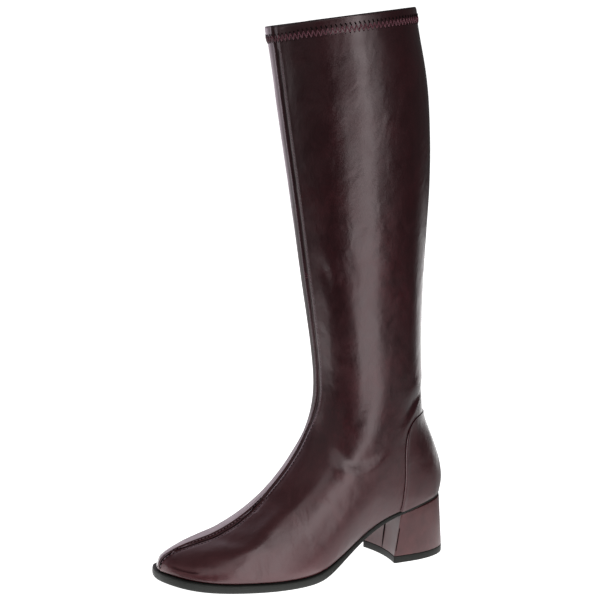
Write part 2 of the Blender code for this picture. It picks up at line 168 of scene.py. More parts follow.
# Stitches: the gap at each end as a share of the stitch, the thread's height and bow as shares of its
# width, the needle holes, and how far the stretch pulls the hem's holes open in millimetres, by degrees
# from the front
STITCH_GAP = 0.17
SEAM_THREAD = (0.8, 0.22)
HEM_THREAD = (0.75, 0.25)
HOLE_WIDTH = 1.1 * MM
HOLE_DEPTH = 0.4 * MM
HOLE_REACH = 0.3 * MM
HOLE_TOP = 115 * MM
HEM_LIFT = 0.12 * MM
HEM_PULL = ((14, 34), (0.7, 2.1))
HEM_LOW_PULL = 0.35 * MM

# Tacks across the front seam, in millimetres
TACK_COLUMNS = ("height", "from_x", "to_x", "drop")
TACKS = ((233.6, 0.6, 6.6, 1.8), (231.8, 0.6, 4.4, 0.4), (229.4, 0.4, 5.8, -0.4))
TACK_WIDTH = 0.6 * MM

# Outsole: inset of its top and underside, and the faces of the tread by their area and place along the boot
SOLE_INSET = 0.7 * MM
TREAD_AREA = 150 * MM * MM
TREAD_BACK = 0.022

# Bevels round the ends of the heel and its lift
HEEL_BEVEL = 0.55 * MM
LIFT_BEVEL = 0.4 * MM

# Dark strips of painted shade along the joins of the heel's cover, with widths in millimetres, and the
# place along the boot they are sought from
JOIN_COLUMNS = ("side", "name", "width")
JOINS = ((0, "breast_join", 1.5), (1, "outer_join", 0.75), (-1, "inner_join", 0.75))
JOIN_MIDDLE = 0.092
JOIN_DEPTH = 0.5 * MM

# The camera's view of the boot, in degrees, metres and millimetres of lens
VIEW_AZIMUTH = 62.13
VIEW_ELEVATION = 10.598
VIEW_ROLL = 0.41
VIEW_TARGET = (-2.4 * MM, -2.43 * MM, 211.68 * MM)
VIEW_DISTANCE = 1.684726
VIEW_LENS = 132.53

# Lit sheets. On the tent round the boot they are soft boxes: turn is measured from the outer side and out
# is the rise from the floor, in degrees, each from one edge to the other
TENT_RADIUS = 1.4
PLAIN = (1.0, 1.0, 1.0)
COOL = (1.0, 0.87, 0.97)
SHEET_COLUMNS = ("name", "turn", "out", "brightness", "tint")
SOFT_BOXES = (
    ("strip_box", (0, 15), (0, 54), 4.6),
    ("strip_edge_box", (15, 30), (0, 28), 1.9),
    ("inner_box", (150, 165), (0, 38), 1.0, COOL),
    ("inner_top_box", (135, 210), (38, 54), 0.6, COOL),
    ("inner_side_box", (165, 210), (0, 38), 1.35, COOL),
    ("inner_front_box", (-150, -120), (0, 40), 0.8, COOL),
    ("seam_box", (-120, -105), (0, 18), 3.1),
    ("front_box", (-105, -45), (0, 54), 0.4),
    ("foot_box", (-45, 0), (28, 54), 1.5),
    ("top_box", (-180, 180), (54, 89), 0.2),
    ("back_box", (135, 150), (0, 18), 1.3),
)

# Just under the floor they are papers: out is the distance from the boot's middle in metres
PAPER_HEIGHT = -2 * MM
FLOOR_SIZE = 40
FLOOR_GLOW = 1.35
ROOM_GLOW = 0.1
PAPERS = (
    ("near_front_paper", (-180, 10), (0.001, 0.2), 3.0),
    ("near_back_paper", (10, 180), (0.001, 0.2), 1.6),
    ("inner_front_paper", (-180, -80), (0.2, 0.42), 2.9),
    ("inner_far_paper", (-150, -120), (0.42, 1.4), 1.8),
    ("strip_paper", (-20, 20), (0.2, 1.4), 3.6),
    ("outer_paper", (20, 80), (0.2, 0.55), 0.95),
    ("back_paper", (80, 180), (0.2, 0.6), 0.6),
    ("counter_paper", (80, 94), (0.6, 1.4), 0.2),
    ("back_rim_paper", (94, 118), (0.6, 1.4), 2.2),
    ("back_far_paper", (118, 152), (0.6, 1.4), 3.0),
    ("inner_back_paper", (152, 210), (0.6, 1.4), 0.5),
)


def colour_setting(name, description, default):
    """A colour that a user may change."""
    return FloatVectorProperty(
        name=name, description=description, subtype="COLOR", size=3, default=default, min=0, max=1
    )


def share_setting(name, description, default, most=1):
    """A share that a user may change."""
    return FloatProperty(
        name=name, description=description, subtype="FACTOR", default=default, min=0, max=most
    )


def size_setting(name, description, default, low, high):
    """A size that a user may change, given in millimetres."""
    return FloatProperty(
        name=name, description=description, subtype="DISTANCE", default=default * MM, min=low * MM,
        max=high * MM, precision=5,
    )


class BootLeather(bpy.types.PropertyGroup):
    burgundy: colour_setting("Burgundy", "Main colour of the leather", (0.029, 0.0040, 0.0062))
    shade: colour_setting("Shade", "Dark clouds in the leather", (0.017, 0.0023, 0.0037))
    blush: colour_setting("Blush", "Red veins rubbed into the leather", (0.055, 0.0062, 0.0100))
    # Painted light of the floor's bounce: the leather turns paler along the foot
    foot: colour_setting("Foot", "Paler colour of painted floor light along the foot", (0.048, 0.0112, 0.0135))
    # Paler than the boot's leather: the heel's own duller leather, with painted light of the floor's bounce
    # in it
    heel: colour_setting("Heel cover", "Main colour of the covered heel", (0.082, 0.026, 0.027))
    gloss: share_setting("Roughness", "Roughness of the polished leather", 0.33)
    crease_depth: share_setting("Crease depth", "Share of the creases' depth", 1.0, 2)
    sway: size_setting("Sway", "Slow unevenness of the stretched leather", 0.28, 0, 2)


class BootStitching(bpy.types.PropertyGroup):
    thread: colour_setting("Thread", "Colour of the red thread", (0.105, 0.0135, 0.030))
    seam_colour: colour_setting("Seam thread colour", "Thread of the front seam", (0.11, 0.045, 0.064))
    seam_pitch: size_setting("Seam pitch", "Length of a stitch along the front seam", 2.9, 1, 6)
    seam_reach: size_setting("Seam reach", "Distance of each stitch row from the front seam", 2.75, 1, 6)
    seam_thread: size_setting("Seam thread", "Thickness of the thread along the seam", 0.6, 0.1, 2)
    hem_pitch: size_setting("Hem pitch", "Length of a stitch round the hem", 3.62, 1, 6)
    hem_drop: size_setting("Hem drop", "Distance of the hem's stitching from the rim", 8.6, 2, 20)
    hem_height: size_setting("Hem height", "Height of the zigzag round the hem", 4.6, 1, 10)
    hem_thread: size_setting("Hem thread", "Thickness of the thread round the hem", 1.0, 0.1, 2)


class BootSole(bpy.types.PropertyGroup):
    rubber: colour_setting("Sole rubber", "Colour of the outsole", (0.0150, 0.0156, 0.0144))
    lift: colour_setting("Lift rubber", "Colour of the heel's lift", (0.0185, 0.0190, 0.0174))
    fabric: colour_setting("Lining", "Colour of the lining and the insole", (0.055, 0.040, 0.038))
    tread_depth: size_setting("Tread depth", "Depth of the tread's grooves", 0.6, 0, 2)
    smoothness: IntProperty(
        name="Smoothness", description="Subdivision of the leather", default=2, min=1, max=2,
    )


class BootStage(bpy.types.PropertyGroup):
    floor: colour_setting("Floor", "Colour of the floor", (0.82, 0.82, 0.82))
    tent: FloatProperty(
        name="Tent light", description="Share of the studio's brightness", default=1.0, min=0,
    )


class BootLooks(bpy.types.PropertyGroup):
    leather: PointerProperty(type=BootLeather)
    stitching: PointerProperty(type=BootStitching)
    sole: PointerProperty(type=BootSole)
    stage: PointerProperty(type=BootStage)


def maths(operation, swapped=False):
    """The method of an operator, which adds a Math node for it."""

    def method(wire, other):
        values = (other, wire) if swapped else (wire, other)
        return wire.finish.node("ShaderNodeMath", {"operation": operation}, dict(enumerate(values)))

    return method


class Wire:
    """A shader socket that Python's operators work on. Each operation adds a Math node."""

    __add__ = maths("ADD")
    __radd__ = maths("ADD", True)
    __sub__ = maths("SUBTRACT")
    __rsub__ = maths("SUBTRACT", True)
    __mul__ = maths("MULTIPLY")
    __rmul__ = maths("MULTIPLY", True)

    def __init__(self, finish, socket):
        self.finish = finish
        self.socket = socket

    def __abs__(self):
        return self.finish.node("ShaderNodeMath", {"operation": "ABSOLUTE"}, {0: self})

    def between(self, low, high):
        """This value carried from low..high to 0..1, smoothly, and held there outside."""
        settings = {"interpolation_type": "SMOOTHSTEP"}
        return self.finish.node(
            "ShaderNodeMapRange", settings, {"Value": self, "From Min": low, "From Max": high}
        )


class Finish:
    """A procedural material on one Principled shader."""

    def __init__(self, name):
        self.material = bpy.data.materials.new(name)
        self.material.use_nodes = True
        self.tree = self.material.node_tree
        self.shader = self.tree.nodes["Principled BSDF"]
        self.place = self.node("ShaderNodeTexCoord", output="Object")

    def node(self, kind, settings=None, sockets=None, output=0):
        """Adds a node of that type, with its settings and the values or links of its sockets."""
        made = self.tree.nodes.new(kind)
        for name, value in (settings or {}).items():
            setattr(made, name, value)
        for name, value in (sockets or {}).items():
            self.join(made.inputs[name], value)
        return Wire(self, made.outputs[output])

    def join(self, socket, value):
        """Links a wire to a socket, or sets its value."""
        if isinstance(value, Wire):
            self.tree.links.new(value.socket, socket)
        elif isinstance(value, (tuple, list)) and socket.type == "RGBA" and len(value) == 3:
            socket.default_value = (*value, 1.0)
        else:
            socket.default_value = value

    def surface(self, sockets):
        """Sets the shader's sockets and gives the material."""
        for name, value in sockets.items():
            self.join(self.shader.inputs[name], value)
        return self.material

    def noise(self, scale, detail=3.0, roughness=0.55, distortion=0.0, place=None):
        values = {
            "Vector": place or self.place, "Scale": scale, "Detail": detail,
            "Roughness": roughness, "Distortion": distortion,
        }
        return self.node("ShaderNodeTexNoise", {}, values)

    def stretched(self, scale):
        """Object coordinates stretched along the axes."""
        return self.node("ShaderNodeMapping", {}, {"Vector": self.place, "Scale": scale})

    def blend(self, factor, low, high):
        """A colour between two."""
        settings = {"data_type": "RGBA", "clamp_factor": True}
        return self.node("ShaderNodeMix", settings, {0: factor, 6: low, 7: high}, output=2)

    def bump(self, height, distance, strength=1.0, normal=None):
        values = {"Height": height, "Distance": distance, "Strength": strength}
        if normal is not None:
            values["Normal"] = normal
        return self.node("ShaderNodeBump", {}, values)


def toned(value, share=1.0):
    """A colour made darker or lighter by a share."""
    return tuple(min(1.0, share * part) for part in value)


def polished_leather(name, main, shade, blush, rough, dents=1.0, foot=None):
    """Smooth stretch leather: rubbed clouds, red veins, soft dents, a fine grain and an even polish.

    With a colour for the foot, painted light of the floor's bounce makes the leather paler there, and
    painted shade makes it darker towards the rim.
    """
    finish = Finish(name)
    drawn = finish.stretched((1.0, 1.0, 0.7))
    clouds = finish.noise(64, 4.0, 0.62, 0.9, drawn).between(0.33, 0.67)
    smudge = finish.noise(190, 4.0, 0.6, 0.6, drawn).between(0.34, 0.68)
    lines = finish.noise(88, 5.0, 0.58, 1.7, drawn)
    veins = 1 - abs(lines - 0.5).between(0.0, 0.035)
    patches = finish.noise(30, 2.0, 0.5, 0.4).between(0.44, 0.70)
    base = finish.blend(clouds * 0.65 + smudge * 0.35, shade, main)
    base = finish.blend(patches * (0.15 + smudge * 0.25), base, blush)
    base = finish.blend(veins * (0.08 + patches * 0.25), base, blush)
    if foot:
        height = finish.node("ShaderNodeSeparateXYZ", {}, {0: finish.place}, output=2)
        # Painted shade: the leg turns darker towards the rim
        base = finish.blend(height.between(0.2, 0.4) * 0.6, base, shade)
        # Painted light of the floor's bounce: paler along the foot
        base = finish.blend((1 - height.between(0.06, 0.125)) * (0.6 + clouds * 0.4), base, foot)
    pores = finish.node(
        "ShaderNodeTexVoronoi", {"feature": "SMOOTH_F1"}, {"Vector": finish.place, "Scale": 1100.0}
    )
    fine = finish.noise(2400, 2.0)
    soft = finish.noise(58, 2.0, 0.45, 0.5, drawn) + finish.noise(170, 2.0, 0.5, 0.3) * 0.22
    dented = finish.bump(soft, 0.00075 * dents, 0.8)
    bent = finish.bump(pores * 0.7 + fine * 0.5 + lines * 0.4, 0.00003, 0.5, dented)
    polish = rough + (clouds - 0.5) * 0.07 + (fine - 0.5) * 0.06
    return finish.surface({
        "Base Color": base, "Roughness": polish, "Normal": bent, "Specular Tint": (1.0, 0.84, 0.86, 1.0),
        "Coat Weight": 0.12, "Coat Roughness": 0.16,
    })


def burgundy_leather(name, leather, dents):
    """The boot's own leather, with dents of a strength, painted paler along the foot as painted floor light
    and darker towards the rim as painted shade.
    """
    return polished_leather(
        name, toned(leather.burgundy), toned(leather.shade), toned(leather.blush), leather.gloss, dents,
        toned(leather.foot),
    )


def moulded_rubber(name, main, rough, ribs=0.0):
    """Matt black rubber with a faint bloom and a fine moulded texture, and ribs of a depth across it."""
    finish = Finish(name)
    bloom = finish.noise(55, 4.0, 0.6, 0.4).between(0.35, 0.7)
    speck = finish.noise(1500, 2.0)
    lighter = tuple(min(1.0, 1.5 * part + 0.002) for part in main)
    base = finish.blend(bloom * 0.45 + speck.between(0.58, 0.8) * 0.25, main, lighter)
    bent = finish.bump(speck + finish.noise(420, 2.0) * 0.6, 0.00006, 0.5)
    if ribs:
        waves = finish.node(
            "ShaderNodeTexWave", {"bands_direction": "Y"}, {"Vector": finish.place, "Scale": 78.0}, output=1
        )
        bent = finish.bump(waves.between(0.25, 0.75), ribs, 1.0, bent)
    polish = rough + (bloom - 0.5) * 0.12
    return finish.surface({
        "Base Color": base, "Roughness": polish, "Normal": bent, "Specular IOR Level": 0.14,
    })


def twisted_thread(name, main, rough=0.55):
    """Polyester thread: fine twisted fibres with light and dark flecks."""
    finish = Finish(name)
    fibres = finish.noise(5200, 2.0, 0.6)
    darker = toned(main, 0.45)
    base = finish.blend(fibres.between(0.32, 0.66), darker, main)
    bent = finish.bump(fibres, 0.00008, 0.7)
    return finish.surface({"Base Color": base, "Roughness": rough, "Normal": bent, "Sheen Weight": 0.1})


def brushed_lining(name, main):
    """Brushed jersey lining: a soft nap over fine knitted ribs."""
    finish = Finish(name)
    nap = finish.noise(900, 4.0, 0.65)
    clouds = finish.noise(40, 3.0).between(0.35, 0.7)
    ribs = finish.node(
        "ShaderNodeTexWave", {"bands_direction": "Z"},
        {"Vector": finish.place, "Scale": 260.0, "Distortion": 1.2, "Detail": 1.0, "Detail Scale": 4.0},
        output=1,
    )
    darker = toned(main, 0.6)
    base = finish.blend(nap.between(0.3, 0.7) * 0.6 + clouds * 0.3, darker, main)
    bent = finish.bump(nap + ribs * 0.35, 0.00018, 0.7)
    return finish.surface({"Base Color": base, "Roughness": 0.92, "Normal": bent, "Sheen Weight": 0.3})


def painted_shade_finish(name):
    """Painted shade: the near-black finish of the shadowed insides of needle holes, of the seam's valley
    and of the heel's joins.
    """
    finish = Finish(name)
    shade = finish.blend(finish.noise(3000, 1.0), (0.004, 0.002, 0.002), (0.010, 0.004, 0.005))
    return finish.surface({"Base Color": shade, "Roughness": 0.9, "Specular IOR Level": 0.1})


def named_rows(columns, table):
    """The rows of a table, with the names of its columns."""
    return [dict(zip(columns, row)) for row in table]


def unit(vectors):
    """Vectors of length one."""
    return vectors / np.linalg.norm(vectors, axis=-1, keepdims=True)


def only(piece):
    """Leaves one object selected and active, in object mode."""
    if bpy.context.object and bpy.context.object.mode != "OBJECT":
        bpy.ops.object.mode_set(mode="OBJECT")
    bpy.ops.object.select_all(action="DESELECT")
    piece.select_set(True)
    bpy.context.view_layer.objects.active = piece
    return piece


def new_grid(name, columns, rows, size=1):
    """A flat grid of faces as a new object."""
    bpy.ops.object.select_all(action="DESELECT")
    bpy.ops.mesh.primitive_grid_add(x_subdivisions=columns, y_subdivisions=rows, size=size)
    grid = bpy.context.object
    grid.name = grid.data.name = name
    return grid


def moved_to(piece, corners):
    """Moves the piece's vertices to new places."""
    piece.data.vertices.foreach_set("co", corners.ravel())
    piece.data.update()


def copy_of(node, name):
    """A new object with a node's mesh, its doubles merged and its triangles joined to quads."""
    mesh = frame["nodes"][node].data.copy()
    mesh.name = name
    mesh.materials.clear()
    piece = bpy.data.objects.new(name, mesh)
    bpy.context.scene.collection.objects.link(piece)
    only(piece)
    bpy.ops.object.mode_set(mode="EDIT")
    bpy.ops.mesh.select_all(action="SELECT")
    bpy.ops.mesh.customdata_custom_splitnormals_clear()
    bpy.ops.mesh.remove_doubles(threshold=0.004 * MM)
    bpy.ops.mesh.tris_convert_to_quads(
        face_threshold=math.radians(50), shape_threshold=math.pi, topology_influence=2.0
    )
    bpy.ops.mesh.select_all(action="DESELECT")
    bpy.ops.object.mode_set(mode="OBJECT")
    for attribute in ("sharp_edge", "sharp_face"):
        if attribute in mesh.attributes:
            mesh.attributes.remove(mesh.attributes[attribute])
    return piece


def pick(piece, domain, chosen):
    """Selects faces or edges of the piece by a list of booleans, and opens it in edit mode."""
    only(piece)
    bpy.ops.object.mode_set(mode="EDIT")
    bpy.context.tool_settings.mesh_select_mode = (False, domain == "edges", domain == "polygons")
    bpy.ops.mesh.select_all(action="DESELECT")
    bpy.ops.object.mode_set(mode="OBJECT")
    getattr(piece.data, domain).foreach_set("select", chosen)
    bpy.ops.object.mode_set(mode="EDIT")


def done(piece):
    """Closes edit mode with nothing selected."""
    bpy.ops.mesh.select_all(action="DESELECT")
    bpy.ops.object.mode_set(mode="OBJECT")
    return piece


def modified(piece, kind, **settings):
    """Adds a modifier with its settings and applies it."""
    only(piece)
    added = piece.modifiers.new(kind.lower(), kind)
    for name, value in settings.items():
        setattr(added, name, value)
    bpy.ops.object.modifier_apply(modifier=added.name)
    return piece


def smoothed(piece, levels):
    """Subdivides the piece smoothly."""
    return modified(piece, "SUBSURF", levels=levels, render_levels=levels, use_limit_surface=False)


def corners_of(piece):
    """The piece's vertices as an array."""
    places = np.empty(len(piece.data.vertices) * 3)
    piece.data.vertices.foreach_get("co", places)
    return places.reshape(-1, 3)


def face_values(piece, name):
    """The middles or the normals of the piece's faces as an array."""
    values = np.empty(len(piece.data.polygons) * 3)
    piece.data.polygons.foreach_get(name, values)
    return values.reshape(-1, 3)


def finished(piece, slot, *finishes, replaces=None, angle=None):
    """Dresses and shades a finished piece, and puts it on the body, in place of its solid if it has any."""
    for finish in finishes:
        piece.data.materials.append(finish)
    only(piece)
    if angle is None:
        bpy.ops.object.shade_smooth()
    else:
        bpy.ops.object.shade_smooth_by_angle(angle=math.radians(angle))
    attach(piece, "root")
    if replaces:
        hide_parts(replaces)
    return piece


def smooth_line(points, steps):
    """Points along a smooth curve through the given ones."""
    points = np.asarray(points, float)
    padded = np.concatenate([2 * points[:1] - points[1:2], points, 2 * points[-1:] - points[-2:-1]])
    line = []
    for i in range(len(points) - 1):
        a, b, c, d = padded[i : i + 4]
        for t in np.arange(steps) / steps:
            turn = 2 * b + (c - a) * t + (2 * a - 5 * b + 4 * c - d) * t**2 + (3 * b - a - 3 * c + d) * t**3
            line.append(turn / 2)
    line.append(points[-1])
    return np.array(line)


def leg_along(height):
    """Place of the leg's middle along the boot at a height, or at many."""
    return np.interp(height / MM, LEG_HEIGHT, LEG_MIDDLE) * MM


def leg_middle(height):
    """Middle of the leg at a height."""
    return Vector((LEG_X, leg_along(height), height))


def seam_across(places):
    """Place of the front seam across the boot, beside places on the leather."""
    on_leg = np.interp(places[:, 2] / MM, *LEG_DRIFT)
    on_foot = np.interp(places[:, 1] / MM, *FOOT_DRIFT)
    return SEAM_MIDDLE + (on_leg + on_foot) * MM


class Skin:
    """The upper's finished outer face, for laying other pieces on it."""

    def __init__(self, piece):
        mesh = piece.data
        self.corners = corners_of(piece)
        faces = [list(face.vertices) for face in mesh.polygons if face.material_index == 0]
        self.tree = BVHTree.FromPolygons([Vector(c) for c in self.corners], faces)
        self.outer = np.unique(np.concatenate([np.array(face) for face in faces]))

    def towards(self, start, direction):
        """Where a line meets the leather, and the leather's direction there."""
        hit = self.tree.ray_cast(start, direction.normalized(), 0.5)
        if hit[0] is None:
            raise RuntimeError("a stitch or panel missed the leather")
        return hit[0], hit[1]

    def round_leg(self, angle, height):
        """The point of the leg at an angle from the outer side and a height."""
        outwards = Vector((math.cos(angle), math.sin(angle), 0))
        middle = leg_middle(height)
        point, normal = self.towards(middle + outwards * 0.2, -outwards)
        if (point - middle).dot(outwards) < 0:
            return self.round_leg(angle + 0.0007, height)
        return point, normal

    def angles(self, height_low, height_high):
        """Angle round the leg and height of the outer corners between two heights."""
        near = self.corners[self.outer]
        near = near[(near[:, 2] > height_low) & (near[:, 2] < height_high)]
        return np.arctan2(near[:, 1] - leg_along(near[:, 2]), near[:, 0] - LEG_X), near[:, 2]

    def rim(self, angle):
        """Height of the rim at an angle round the leg."""
        return float(np.interp(angle, self.rim_angle, self.rim_height, period=2 * math.pi))

    def find_rim(self):
        """Finds the rim's height every three degrees round the leg."""
        angle, height = self.angles(RIM_LOW, 0.45)
        steps = np.round(angle / math.radians(3)).astype(int) % 120
        self.rim_angle = np.array([math.radians(3) * step for step in np.unique(steps)])
        self.rim_height = np.array([height[steps == step].max() for step in np.unique(steps)])

    def front_seam(self):
        """Points down the middle of the front seam, from the toe to the rim."""
        near = self.corners[self.outer]
        near = near[(np.abs(near[:, 0] - seam_across(near)) < SEAM_NEAR) & (near[:, 1] < SEAM_BACK)]
        near = near[np.argsort(near[:, 1] + near[:, 2])]
        apart = np.linalg.norm(np.diff(near, axis=0), axis=1) > 0.05 * MM
        return near[np.concatenate([[True], apart])]


def travelled(line):
    """Distances of the points along a line, or along each row of a grid."""
    steps = np.linalg.norm(np.diff(line, axis=-2), axis=-1)
    return np.concatenate([np.zeros_like(steps[..., :1]), np.cumsum(steps, axis=-1)], axis=-1)


def at_distance(line, distance):
    """Points of a line at distances along it."""
    reached = travelled(line)
    return np.stack([np.interp(distance, reached, axis) for axis in line.T], axis=-1)


def upper_creases(corners, depth, sway):
    """How far each corner of the leather moves out: creases placed as listed, seam bands and a slow sway.
    """
    rise = np.zeros(len(corners))
    for crease in named_rows(CREASE_COLUMNS, CREASES):
        line = smooth_line(np.array(crease["line"]) * MM, 8)
        share = travelled(line) / travelled(line)[-1]
        gap = np.linalg.norm(corners[:, None, :] - line[None, :, :], axis=2)
        nearest = gap.argmin(axis=1)
        fade = np.sin(np.pi * np.clip(share[nearest] * 0.84 + 0.08, 0, 1))
        near = np.exp(-((gap.min(axis=1) / (crease["reach"] * MM)) ** 2))
        rise += crease["rise"] * MM * depth * fade * near
    along, height = corners[:, 1], corners[:, 2]
    front = (along < SEAM_BACK) & ((height > SEAM_LEG) | (along < SEAM_INSTEP))
    reach = np.abs(corners[front, 0] - seam_across(corners[front])) / MM
    share = np.interp(height[front], *BAND_SHARE)
    on_leg, on_foot = (np.interp(reach, BAND_REACH, band) for band in (BAND_LEG, BAND_FOOT))
    rise[front] += (share * on_leg + (1 - share) * on_foot) * MM
    leg = np.interp(height, *SWAY_SHARE)
    for i in np.flatnonzero(leg > 0):
        x, y, z = corners[i]
        slow = noise.noise((x * 34, y * 34, z * 17)) + 0.4 * noise.noise((x * 70, y * 70, z * 44))
        rise[i] += leg[i] * sway * slow
    return rise


class BOOT_OT_upper(bpy.types.Operator):
    """Upper and shaft: creased leather outside, turned rim, brushed lining inside"""

    bl_idname = "boot.upper"
    bl_label = "Upper"

    def execute(self, context):
        looks = context.scene.boot
        piece = copy_of("upper", "boot_upper")
        mesh = piece.data
        leather = looks.leather
        mesh.materials.append(burgundy_leather("burgundy_leather_look", leather, 1.0))
        # Near-black leather for the rim's top edge and the upper's cut ends: painted shade
        mesh.materials.append(polished_leather(
            "rim_edge_painted_shade_look", toned(leather.shade, 0.3), toned(leather.shade, 0.2), toned(leather.shade),
            leather.gloss + 0.25,
        ))
        mesh.materials.append(brushed_lining("lining_look", toned(looks.sole.fabric)))
        middles = face_values(piece, "center")
        normals = face_values(piece, "normal")
        # The ends of the leather take the near-black painted shade
        ends = (normals[:, 2] < -0.8) | ((normals[:, 2] > 0.8) & (middles[:, 2] > RIM_LOW))
        mesh.polygons.foreach_set("material_index", np.where(ends, 1, 2).astype(np.int32))
        pick(piece, "polygons", np.arange(len(middles)) == middles[:, 0].argmax())
        bpy.ops.mesh.select_linked(delimit={"MATERIAL"})
        piece.active_material_index = 0
        bpy.ops.object.material_slot_assign()
        done(piece)
        corners = corners_of(piece)
        edges = np.empty(len(mesh.edges) * 2, np.int32)
        mesh.edges.foreach_get("vertices", edges)
        ends_of = corners[edges.reshape(-1, 2)]
        on_seam = (np.abs(ends_of[:, :, 0] - SEAM_MIDDLE) < SEAM_NEAR) & (ends_of[:, :, 1] < SEAM_BACK)
        pick(piece, "edges", on_seam.all(axis=1))
        bpy.ops.transform.edge_crease(value=0.8)
        done(piece)
        smoothed(piece, looks.sole.smoothness)
        self.drift(piece)
        self.fold(piece, leather.crease_depth, leather.sway)
        self.paint_rim_shade(piece)
        finished(piece, "burgundy_leather", replaces="upper")
        return {"FINISHED"}

    def paint_rim_shade(self, piece):
        """Paints the very top of the fold near black: painted shade along the turned edge."""
        skin = Skin(piece)
        skin.find_rim()
        for face in piece.data.polygons:
            x, y, z = face.center
            if face.material_index == 0 and z > RIM_LOW:
                angle = math.atan2(y - leg_along(z), x - LEG_X)
                if z > skin.rim(angle) - RIM_SHADE_BAND:
                    face.material_index = 1

    def drift(self, piece):
        """Slides the front seam to the outer side, along the leather of the foot and of the leg."""
        corners = corners_of(piece)
        lining = [list(face.vertices) for face in piece.data.polygons if face.material_index == 2]
        tree = BVHTree.FromPolygons([Vector(corner) for corner in corners], lining)
        reach = np.abs(corners[:, 0] - SEAM_MIDDLE) / MM
        slide = (seam_across(corners) - SEAM_MIDDLE) * np.interp(reach, *DRIFT_SHARE)
        slide[corners[:, 1] > leg_along(corners[:, 2])] = 0
        for i in np.flatnonzero(slide > 0):
            x, y, z = corners[i]
            if z > LEG_FOOT:
                start = leg_middle(min(z, RIM_LOW))
                way = Vector((0, -1, 0))
            else:
                start = Vector((0, y, LEG_FOOT))
                way = Vector((0, 0, -1))
            start.x = x
            before = tree.ray_cast(start, way)[0]
            start.x += slide[i]
            after = tree.ray_cast(start, way)[0]
            if before and after:
                corners[i] += after - before
        moved_to(piece, corners)

    def fold(self, piece, depth, sway):
        """Moves the leather by its creases, and the lining with the leather beside it."""
        mesh = piece.data
        corners = corners_of(piece)
        normals = np.array([normal.vector for normal in mesh.vertex_normals])
        leather = np.zeros(len(corners), bool)
        for face in mesh.polygons:
            if face.material_index == 0:
                leather[list(face.vertices)] = True
        outer = np.flatnonzero(leather)
        moved = np.zeros_like(corners)
        rise = upper_creases(corners[outer], depth, sway)
        moved[outer] = normals[outer] * rise[:, None]
        tree = KDTree(len(outer))
        for i in outer:
            tree.insert(corners[i], int(i))
        tree.balance()
        for i in np.flatnonzero(~leather):
            moved[i] = moved[tree.find(corners[i])[1]]
        moved_to(piece, corners + moved)


